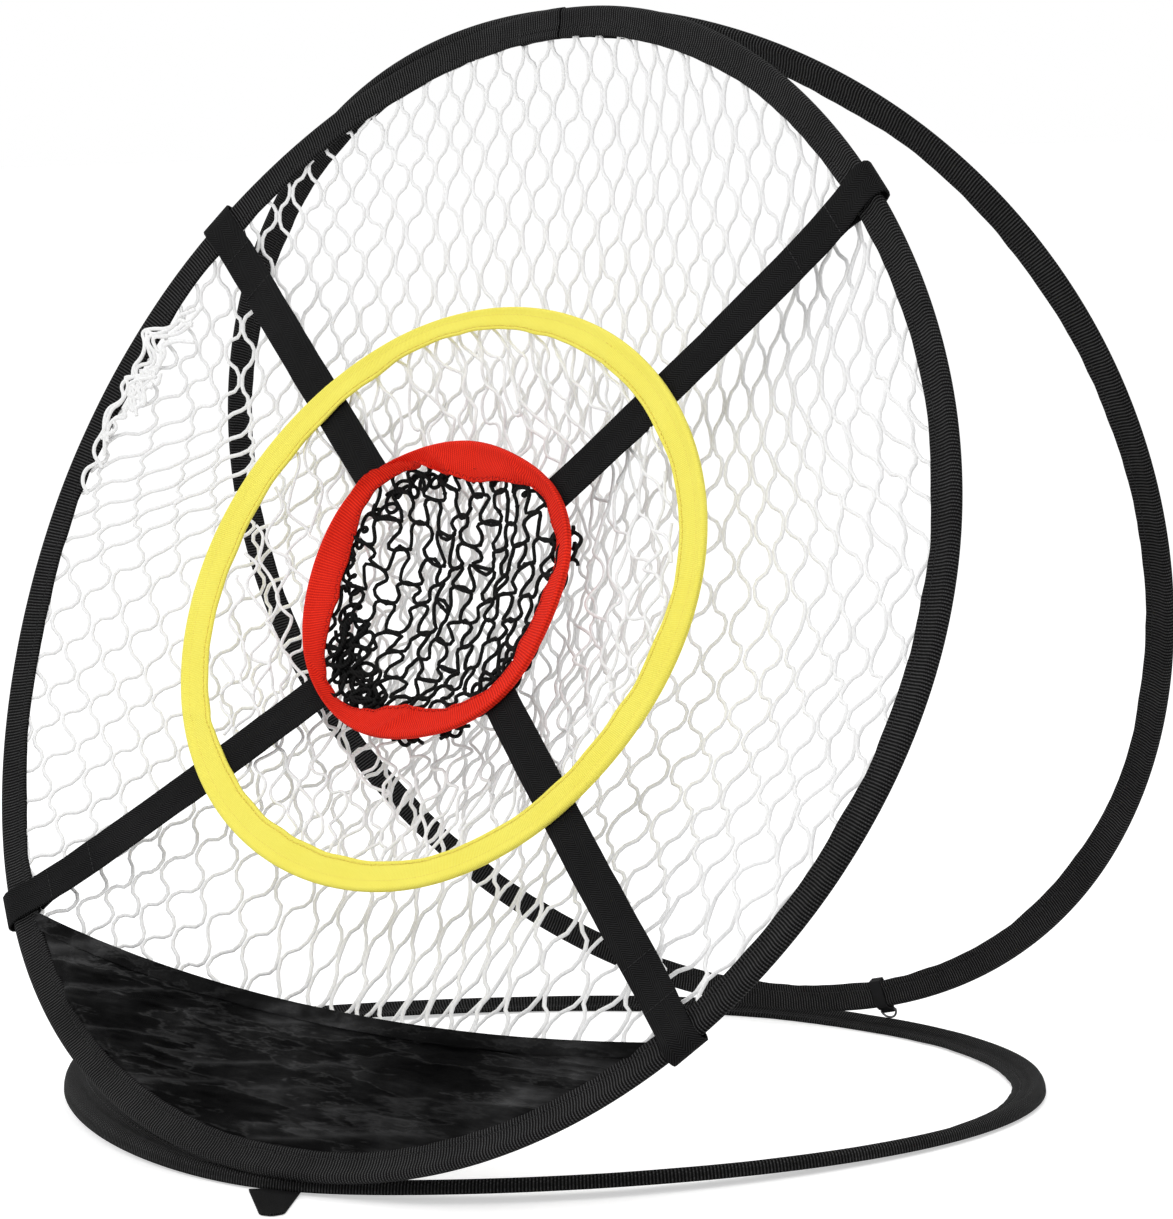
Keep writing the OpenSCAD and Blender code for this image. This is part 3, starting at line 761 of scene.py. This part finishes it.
targetNet = dict(cell=17.5 * mm, slant=4.9 * mm, side=8.6 * mm, rim=290.5 * mm, span=400 * mm,
                 cord=1.05 * mm, wander=8 * mm, cut=0.24, soft=False, curlScale=60, curl=2.6 * mm,
                 apart=0.0444, seed=3, x=0, y=0,
                 bag=(1.2 * mm, 56 * mm, 2.6 * mm, 14), ripple=6 * mm, rippled=(13, 8, 1.7))
middleNet = dict(cell=18 * mm, slant=8 * mm, side=6.5 * mm, rim=146 * mm, span=200 * mm, cord=0.88 * mm,
                 wander=11 * mm, cut=0.25, soft=True, curlScale=75, curl=6 * mm, apart=0.296, seed=11,
                 x=-5 * mm, y=-3.5 * mm, turn=0.35, wanderScale=22, wanderSeed=7.7,
                 bag=(0.6 * mm, 34 * mm, 1.6 * mm, 10), ripple=8 * mm, rippled=(26, 20, 5.7))
centreNet = dict(cell=17 * mm, rise=12.5 * mm, bulb=3.2 * mm, rim=70 * mm, span=110 * mm, cord=1.05 * mm,
                 wander=6 * mm, curlScale=120, curl=3.0 * mm, seed=23, x=-9.5 * mm, y=0.5 * mm, turn=-0.06,
                 wanderScale=34, wanderSeed=5.1, fine=9,
                 bag=(1.0 * mm, 20 * mm, 0, 1), ripple=4 * mm, rippled=(50, 40, 8.7))


def roundedPath(points, cut=0.25):
    # corners cut once, so that a yarn turns softly
    path = [points[0]]
    for a, b in zip(points, points[1:]):
        path += [a.lerp(b, cut), a.lerp(b, 1 - cut)]
    return path + [points[-1]]


def cordMesh(paths, radius):
    # round cords along open paths, made a bmesh
    curve = bpy.data.curves.new("cordPaths", "CURVE")
    curve.dimensions = "3D"
    curve.bevel_depth = radius
    curve.bevel_resolution = 1
    curve.use_fill_caps = True
    for path in paths:
        spline = curve.splines.new("POLY")
        spline.points.add(len(path) - 1)
        for point, co in zip(spline.points, path):
            point.co = (*co, 1)
    holder = bpy.data.objects.new("cordPaths", curve)
    bpy.context.scene.collection.objects.link(holder)
    bpy.context.view_layer.update()
    mesh = bpy.data.meshes.new_from_object(holder.evaluated_get(bpy.context.evaluated_depsgraph_get()))
    bm = bmesh.new()
    bm.from_mesh(mesh)
    bpy.data.objects.remove(holder)
    bpy.data.curves.remove(curve)
    bpy.data.meshes.remove(mesh)
    bmesh.ops.recalc_face_normals(bm, faces=bm.faces)
    return bm


def hangYarn(run, size, lay, bag, shift):
    # one yarn on the disc, cut where it meets the rim, its curls dying out there; the shift sets them apart
    # from its neighbour's
    paths, path = [], []
    for flat in run:
        spot = lay(flat)
        reach = spot.length
        if reach > size["rim"]:
            end = spot * (size["rim"] / reach)
            end = Vector((*end, bag(*end)))
            if len(path) > 1:
                paths.append(path + [end])
            path = [end]
            continue
        fade = clamp((size["rim"] - reach) / (14 * mm))
        curl = noise.noise_vector(Vector((*(spot * size["curlScale"]), size["seed"] + shift)))
        path.append(Vector((*spot, bag(*spot))) + curl * size["curl"] * fade)
    return [p for p in paths + [path] if len(p) > 2]


def slackYarns(size, lay, bag):
    # yarns that run from side to side in deep, round meanders, their crests hung from the next one's troughs
    rows, units = int(size["span"] / size["rise"]) + 1, int(size["span"] / size["cell"]) * 2 + 2
    fine = size["fine"]     # points along half a cell
    paths, links = [], []
    for j in range(-rows, rows + 1):
        run = []
        for k in range(-units * fine, units * fine + 1):
            u = k / fine
            swell = 1 + 0.7 * noise.noise(Vector((u * 0.45, j * 1.7, size["seed"])))
            height = 1.0 + 0.35 * noise.noise(Vector((u * 0.5, j * 1.3, size["seed"] + 4)))
            x = size["cell"] / 2 * u + size["bulb"] * math.sin(fullTurn * u) * swell
            run.append(Vector((x, size["rise"] * (j + 0.53 * height * math.cos(math.pi * (u + j))))))
        hung = hangYarn(run, size, lay, bag, 0.1 * (j % 2))
        paths += hung
        links += [p[k] for p in hung for k in range(fine, len(p), fine * 2)]
    return paths, links


def netYarns(size, lay, bag):
    # two yarns lean away from each other and back along each column, and end where they meet the rim
    w, upright, pitch = size["cell"], size["side"], size["slant"] + size["side"]
    rows, cols = int(size["span"] / pitch) + 2, int(size["span"] / w) + 2
    twin = size["cord"] * 0.95
    paths = []
    for i in range(-cols, cols + 1):
        for lean in (1, -1):
            run = []
            for j in range(-rows, rows + 1):
                x = i * w + lean * (w / 2 - twin if j % 2 else twin)
                run += [Vector((x, j * pitch - upright / 2)), Vector((x, j * pitch + upright / 2))]
            paths += hangYarn(roundedPath(run, size["cut"]), size, lay, bag, lean * size["apart"])
    return [roundedPath(p) if size["soft"] else p for p in paths]


def followRing(spot, size):
    # the slack net keeps to the ring's uneven inner edge
    reach = spot.to_2d().length
    if reach > size["rim"] + 3 * mm or reach < 1 * mm:
        return spot
    edge = ringEdge(bandAngle(spot), 0.66).to_2d() - Vector((size["x"], size["y"]))
    grow = 1 + (edge.length / size["rim"] - 1) * min(1.0, reach / size["rim"]) ** 2
    return Vector((spot.x * grow, spot.y * grow, spot.z))


def placeNet(name, size, paths, material, node=None, knots=()):
    bm = cordMesh(paths, size["cord"])
    for spot in knots:
        knot = bmesh.ops.create_icosphere(bm, subdivisions=1, radius=size["cord"] * 1.35)["verts"]
        bmesh.ops.translate(bm, verts=knot, vec=spot)
    bmesh.ops.translate(bm, vec=(size["x"], size["y"], 0), verts=bm.verts)
    print(name, len(paths), "yarns", len(bm.faces), "faces")
    finishPiece(name, bm, material, "target", node)


def netBag(x, y, size):
    # a bowl behind the rim, with soft ripples that die out at it
    r = min(1.0, math.hypot(x, y) / size["rim"])
    start, depth, step, near = size["bag"]
    across, up, seed = size["rippled"]
    ripple = size["ripple"] * noise.noise(Vector((x * across, y * up, seed))) * (1 - r ** 4)
    return -start - depth * (1 - r ** 2) - step * min(1, (1 - r) * near) + ripple


def targetBag(x, y):
    # it passes behind the catch panel, and is gathered in folds on its right
    r = min(1.0, math.hypot(x, y) / targetNet["rim"])
    behind = smoothStep(-y, 0.15, 0.2) * 2.5 * mm
    folds = 5 * mm * math.sin(math.degrees(math.atan2(y, x)) * 0.55)
    gather = folds * smoothStep(r, 0.7, 0.92) * smoothStep(x, 0.1, 0.2) * (1 - r ** 14)
    return netBag(x, y, targetNet) - behind * min(1, (1 - r) * 30) + gather


def layTargetNet(flat):
    # pulled sideways on the left, so its gaps are wide and low there; upright and slim on the right
    x, y = flat
    left, low = smoothStep(-x, 0.03, 0.13), smoothStep(-y, -0.1, 0.0)
    drawn = smoothStep(-y, 0.12, 0.22) * (1 - left)      # the foot is pulled down tight
    wide = 0.34 - 0.34 * smoothStep(y, -0.02, 0.12)
    spread = x - wide * max(0.0, -x - 0.03) * left + 0.55 * max(0.0, x - 0.09) * low - 0.15 * x * drawn
    rise = y * (1.15 - 0.22 * smoothStep(-x, -0.02, 0.24)) + 0.10 * x * (1 - left)
    rise -= 0.3 * max(0.0, -y - 0.12) * (1 - left)
    tuck = smoothStep(math.hypot(spread, rise), 0.215, 0.28) * smoothStep(x, 0.12, 0.2)
    drift = noise.noise_vector(Vector((x * 11, y * 11, 3.3))) * (targetNet["wander"] * (1 + 1.2 * tuck))
    return Vector((spread + drift.x, rise + drift.y))


def layPocketNet(flat, size):
    turned = Matrix.Rotation(size["turn"], 2) @ flat
    scale = size["wanderScale"]
    drift = noise.noise_vector(Vector((turned.x * scale, turned.y * scale, size["wanderSeed"])))
    return Vector((turned.x + drift.x * size["wander"], turned.y + drift.y * size["wander"]))


def looseCurls(start, stop, radius, loop, turns, height):
    # a slack yarn that loops on itself as it goes round part of a rim: angles in degrees, the rest in mm
    seed, steps, lift = start * 0.7, int(turns * 14), 1.5 * mm
    start, stop, radius, loop = math.radians(start), math.radians(stop), radius * mm, loop * mm
    path = []
    for k in range(steps + 1):
        t = k / steps
        swing = fullTurn * turns * t
        stray = noise.noise_vector(Vector((t * 9, seed, 1.5)))
        r = radius + loop * (math.cos(swing) * (0.7 + 0.5 * stray.x) + 0.8 * stray.y)
        angle = start + (stop - start) * t + loop * (math.sin(swing) * (0.8 + 0.6 * stray.z)) / radius
        rise = loop * 0.3 * stray.z + lift * math.cos(swing * 0.5 + seed)
        path.append(onDisc(angle, r, height * mm + rise))
    return roundedPath(roundedPath(path))


# slack edge of the bag, drawn over the hoop: each yarn by its angle on the hoop and its distance out in mm
slackEdge = [
    [(150.4, 279), (151.2, 281), (152.1, 284), (153, 283), (154.1, 285), (155.1, 293), (156.1, 299),
     (156.8, 291), (158.1, 288), (159.5, 290), (160.6, 287)],
    [(151.6, 275), (153.2, 277), (154.5, 282), (155.7, 292), (156.6, 290), (157, 283), (158.1, 281),
     (159.6, 285), (160.5, 283)],
    [(153.8, 271), (154.7, 280), (155.8, 284), (156.2, 278), (157.7, 279), (158.7, 281), (159.9, 282),
     (161.3, 287)],
    [(159.5, 283), (160.8, 289), (161.9, 292), (162.7, 286), (163.5, 287), (164.7, 293), (166.3, 290),
     (168, 285), (169.3, 283)],
    [(161.6, 278), (162.8, 284), (163.9, 284), (164.6, 280), (165.2, 286), (166.5, 287), (167.8, 284)],
    [(159.8, 275), (161, 280), (162.2, 279), (162.2, 285), (161, 286), (161.8, 275), (163, 278)],
    [(158.6, 279), (159.9, 276), (160.6, 281), (159.6, 284), (160.9, 286), (162.6, 281), (163.8, 275)],
    [(170.5, 285), (171.5, 289), (172.9, 288), (173.8, 283)]]
slackCord = 1.1 * mm


def slackEdgeYarn(yarn, number, again):
    # a second yarn strays from the first's way and lies a little further in
    path = []
    for degrees, r in yarn:
        stray = noise.noise_vector(Vector((degrees * 0.8, r * 0.1, number * 1.7))) * again
        degrees += 2.4 * stray.x
        r += 12 * stray.y - 2 * again
        over = smoothStep(r, 278, 290) * 5.2 + 0.8 * noise.noise(Vector((degrees, number * 2.3, 1)))
        path.append(onDisc(math.radians(degrees), r * mm, (over - 0.9) * mm))
    return roundedPath(roundedPath(path))


# tangles of slack yarn along the centre ring, as looseCurls takes them
tangles = [
    (178, 250, 62, 5.5, 10, -8.5), (196, 245, 55, 6.5, 6, -10.5), (305, 392, 64, 5, 12, -8.5),
    (200, 262, 66, 3.5, 9, -6.5), (20, 80, 66, 3.5, 6, -7.5), (240, 315, 66, 3.5, 10, -7.5),
    (305, 345, 58, 6, 6, -9.5), (145, 185, 66, 3.5, 6, -6.5), (85, 140, 66, 3, 6, -6.5),
    (212, 250, 60, 5, 6, -8.5), (320, 350, 63, 4, 5, -7.5), (190, 222, 65, 4, 6, -11.5),
    (230, 290, 64, 4, 9, -11.5), (310, 340, 66, 4, 7, -7.5), (105, 150, 64, 4, 7, -7.5),
    (40, 45, 81.5, 3.5, 2, -4.5), (14, 27, 86, 3, 3, -4.5), (290, 304, 76, 3, 4, -4.5),
    (268, 282, 75.5, 3, 3, -4.5)]

placeNet("targetNetBag", targetNet, netYarns(targetNet, layTargetNet, targetBag), whiteCord,
         "target_net")
slackPaths = [slackEdgeYarn(yarn, number, number // len(slackEdge))
              for number, yarn in enumerate(slackEdge + slackEdge[:7])]
placeNet("targetNetSlack", dict(targetNet, cord=slackCord), slackPaths, whiteCord)
layMiddle, middleBag = partial(layPocketNet, size=middleNet), partial(netBag, size=middleNet)
placeNet("middlePocketNet", middleNet, netYarns(middleNet, layMiddle, middleBag), whiteCord,
         "middle_pocket_net")
layCentre, centreBag = partial(layPocketNet, size=centreNet), partial(netBag, size=centreNet)
centrePaths, centreLinks = slackYarns(centreNet, layCentre, centreBag)
centrePaths += [looseCurls(*tangle) for tangle in tangles]
centrePaths = [[followRing(spot, centreNet) for spot in path] for path in centrePaths]
centreKnots = [followRing(spot, centreNet) for spot in centreLinks]
placeNet("centrePocketNet", centreNet, centrePaths, blackCord, "centre_pocket_net", centreKnots)
print("nets made")


# catch panel

panel = dict(reach=291.5 * mm, ends=(221.9, 313.6), sag=14.5 * mm, cols=240, rows=70, thick=0.35 * mm)
panelHem = dict(width=8 * mm, over=0.6 * mm, proud=0.9 * mm, cols=240, rows=8, thick=1.5 * mm, edge=0.4 * mm)
panelEnds = [onDisc(math.radians(degrees), panel["reach"]) for degrees in panel["ends"]]


def panelSpan(across):
    # x at a share of the panel's width, and the heights of its hem and of its foot there
    left, right = panelEnds
    x = left.x + (right.x - left.x) * across
    top = left.y + (right.y - left.y) * across - 4 * panel["sag"] * across * (1 - across)
    return x, top, -math.sqrt(max(0.0, panel["reach"] ** 2 - x * x))


def panelRelief(x, y, top, low):
    # wrinkles that run from side to side, a soft swell and one curved crease; flat where it is sewn down
    t = (y - low) / max(top - low, 1 * mm)
    inside = clamp((top - low) / (30 * mm)) * min(1.0, max(0.0, min(t, 1 - t)) * 6)
    fine = noise.fractal(Vector((x * 18, y * 95, 2.0)), 0.9, 2.1, 4) * 3.4
    broad = noise.noise(Vector((x * 9, y * 20, 6.0))) * 6
    ridge = (1 - abs(noise.noise(Vector((x * 14 + y * 9, y * 60, 9.0)))) * 2) ** 3 * 2.4
    arc = 1.0 if x < -0.09 else max(0.0, 1 - (x + 0.09) / 0.03)
    crease = 3.4 * arc * math.exp(-((math.hypot(x + 0.12, y + 0.20) - 0.055) / 0.006) ** 2)
    return -0.6 * mm + max(-1.6, (fine + broad + ridge + crease + 0.6) * inside) * mm


def panelCorner(across, up):
    x, top, low = panelSpan(across)
    y = low + (top - low) * up
    return (x, y, panelRelief(x, y, top, low)), (x, y)


def hemCorner(across, down):
    x, top, low = panelSpan(across)
    y = top + panelHem["over"] - panelHem["width"] * down
    return (x, y, panelRelief(x, min(y, top), top, low) + panelHem["proud"]), (x, y)


cloth = finishPiece("catchPanelCloth", clothGrid(panel["cols"], panel["rows"], panelCorner), blackSatin,
                    "target", "catch_panel")
thicken(cloth, panel["thick"])
hem = finishPiece("catchPanelHem", clothGrid(panelHem["cols"], panelHem["rows"], hemCorner), blackHemSatin,
                  "target")
thicken(hem, panelHem["thick"], panelHem["edge"])
print("catch panel made")


# stake tab, wires and clip

tab = dict(root=26 * mm, tip=11 * mm, length=54 * mm, tuck=1 * mm, thick=1.2 * mm, edge=0.25 * mm, cols=8,
           rows=22, turn=math.radians(44), x=5 * mm, y=1 * mm)


def tabCorner(across, down):
    # it narrows to a rounded tip
    half = tab["root"] / 2 + (tab["tip"] / 2 - tab["root"] / 2) * down
    if down > 0.9:
        half *= math.sqrt(max(0.02, 1 - ((down - 0.9) / 0.1) ** 2 * 0.97))
    x, y = half * (-1 + 2 * across), tab["tuck"] - tab["length"] * down
    return (x, y, tab["thick"] / 2), (y, x)


tabPlace = Matrix.Translation((tab["x"], tab["y"], 0)) @ Matrix.Rotation(tab["turn"], 4, "Z")
tabPiece = finishPiece("stakeTabWebbing", clothGrid(tab["cols"], tab["rows"], tabCorner), blackTwill, "base",
                       "stake_tab", place=tabPlace)
thicken(tabPiece, tab["thick"], tab["edge"])

wire = dict(thick=3.2 * mm, ringThick=2 * mm, sides=10, steps=200)
ferrule = dict(thick=4.4 * mm, length=26 * mm, sides=14, steps=8)


def hoopWire(body, radius, height):
    bm = bmesh.new()
    turnSection(bm, roundSection(bm, wire["thick"], wire["sides"], radius, height), fullTurn, wire["steps"])
    finishPiece(body + "HoopWire", bm, springWire, body, body + "_wire")


def hoopFerrule(body, radius, height):
    # the short tube that joins the wire's two ends
    low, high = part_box(body + "_ferrule")
    middle = planes[body].inverted() @ ((Vector(low) + Vector(high)) / 2)
    span = ferrule["length"] / radius
    start = bandAngle(middle) - span / 2
    bm = bmesh.new()
    section = roundSection(bm, ferrule["thick"], ferrule["sides"], radius, height, start)
    turnSection(bm, section, span, ferrule["steps"])
    finishPiece(body + "HoopFerrule", bm, ferruleSteel, body, body + "_ferrule")


def ringWire(name, size):
    bm = bmesh.new()
    section = roundSection(bm, wire["ringThick"], wire["sides"], size["outer"] - size["bulge"], 0)
    turnSection(bm, section, fullTurn, wire["steps"])
    shapeRing(bm, size)
    finishPiece(name + "RingWire", bm, springWire, "target", name + "_ring_wire")


for body, radius, height in (("target", 301.7, 0), ("rear", 289.887, 0), ("base", 241.7, 3.3)):
    hoopWire(body, radius * mm, height * mm)
    hoopFerrule(body, radius * mm, height * mm)
for name, size in rings.items():
    ringWire(name, size)


def paintNode(name, material):
    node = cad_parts[name]
    node.data.materials.clear()
    node.data.materials.append(material)


paintNode("clip_ring", clipSteel)
paintNode("clip_tab", blackTape)
print("tabs and hardware made")


# floor, light and camera

def seenDirectly(tree):
    # 1 where the camera, a reflection or a clear piece shows it
    path = tree.nodes.new("ShaderNodeLightPath")
    rays = [path.outputs[ray] for ray in ("Is Camera Ray", "Is Glossy Ray", "Is Transmission Ray")]
    return mathNode(tree, "MAXIMUM", rays[0], mathNode(tree, "MAXIMUM", rays[1], rays[2]))


def paleFloor(size, below, grey, glow):
    bm = bmesh.new()
    bmesh.ops.create_grid(bm, x_segments=1, y_segments=1, size=size)
    mesh = bpy.data.meshes.new("studioFloor")
    bm.to_mesh(mesh)
    bm.free()
    floor = bpy.data.objects.new("studioFloor", mesh)
    floor.location.z = -below
    bpy.context.scene.collection.objects.link(floor)
    material, tree, shader, calc = newMaterial("studioFloorWhite")
    shader.inputs["Base Color"].default_value = (grey, grey, grey, 1)
    setFinish(shader, dict(rough=0.9, gloss=0.1))
    light = tree.nodes.new("ShaderNodeEmission")
    light.inputs["Color"].default_value = (1, 1, 1, 1)
    tree.links.new(calc("MULTIPLY", seenDirectly(tree), glow), light.inputs["Strength"])
    both = tree.nodes.new("ShaderNodeAddShader")
    tree.links.new(shader.outputs[0], both.inputs[0])
    tree.links.new(light.outputs[0], both.inputs[1])
    tree.links.new(both.outputs[0], tree.nodes["Material Output"].inputs["Surface"])
    mesh.materials.append(material)


def studioWorld(plain, shown):
    # its light on the object, and what it shows behind it
    world = bpy.data.worlds.new("studioWorld")
    world.use_nodes = True
    bpy.context.scene.world = world
    tree = world.node_tree
    background = tree.nodes["Background"]
    background.inputs["Color"].default_value = (1, 1, 1, 1)
    strength = mathNode(tree, "MULTIPLY_ADD", seenDirectly(tree), shown - plain, plain)
    tree.links.new(strength, background.inputs["Strength"])


def softLamp(name, place, target, size, power):
    lamp = bpy.data.lights.new(name, "AREA")
    lamp.shape = "RECTANGLE"
    lamp.size, lamp.size_y = size
    lamp.energy = power
    lampObject = bpy.data.objects.new(name, lamp)
    lampObject.location = place
    lampObject.rotation_euler = (Vector(target) - Vector(place)).to_track_quat("-Z", "Y").to_euler()
    bpy.context.scene.collection.objects.link(lampObject)


def placeCamera(view):
    # right, up and forward of the view, turned by the roll; the focal length is in pixels of its width
    azimuth, elevation, roll = (math.radians(view[k]) for k in ("azimuth", "elevation", "roll"))
    level, rise = math.cos(elevation), -math.sin(elevation)
    right = onDisc(azimuth, 1)
    forward = Vector((-math.sin(azimuth) * level, math.cos(azimuth) * level, rise))
    up = right.cross(forward)
    turnedRight = right * math.cos(roll) + up * math.sin(roll)
    turnedUp = up * math.cos(roll) - right * math.sin(roll)
    spot = -turnedRight * view["right"] - turnedUp * view["up"] - forward * view["distance"]
    camera = bpy.data.cameras.new("viewCamera")
    camera.sensor_fit = "HORIZONTAL"
    camera.sensor_width = view["sensor"]
    camera.lens = view["focal"] * view["sensor"] / view["width"]
    camera.clip_end = 100
    cameraObject = bpy.data.objects.new("viewCamera", camera)
    cameraObject.matrix_world = placeMatrix(spot, turnedRight, turnedUp)
    bpy.context.scene.collection.objects.link(cameraObject)
    bpy.context.scene.camera = cameraObject


paleFloor(size=30, below=0.4 * mm, grey=0.85, glow=0.5)
studioWorld(plain=0.62, shown=1.0)
softLamp("keyLamp", (1.2, -2.2, 2.4), (0, 0.2, 0.3), (1.8, 1.4), 30)
softLamp("fillLamp", (-2.2, -1.4, 1.6), (0, 0.2, 0.3), (1.8, 1.6), 13)
softLamp("topLamp", (0.0, 0.8, 2.8), (0, 0.3, 0.2), (2.4, 2.0), 16)
placeCamera(dict(azimuth=42.672, elevation=6.101, roll=-1.558, right=-0.152277, up=-0.276735,
                 distance=2.30828, focal=4839.854, sensor=36, width=1173))
bpy.context.scene.view_settings.view_transform = "Standard"
print("stage set")
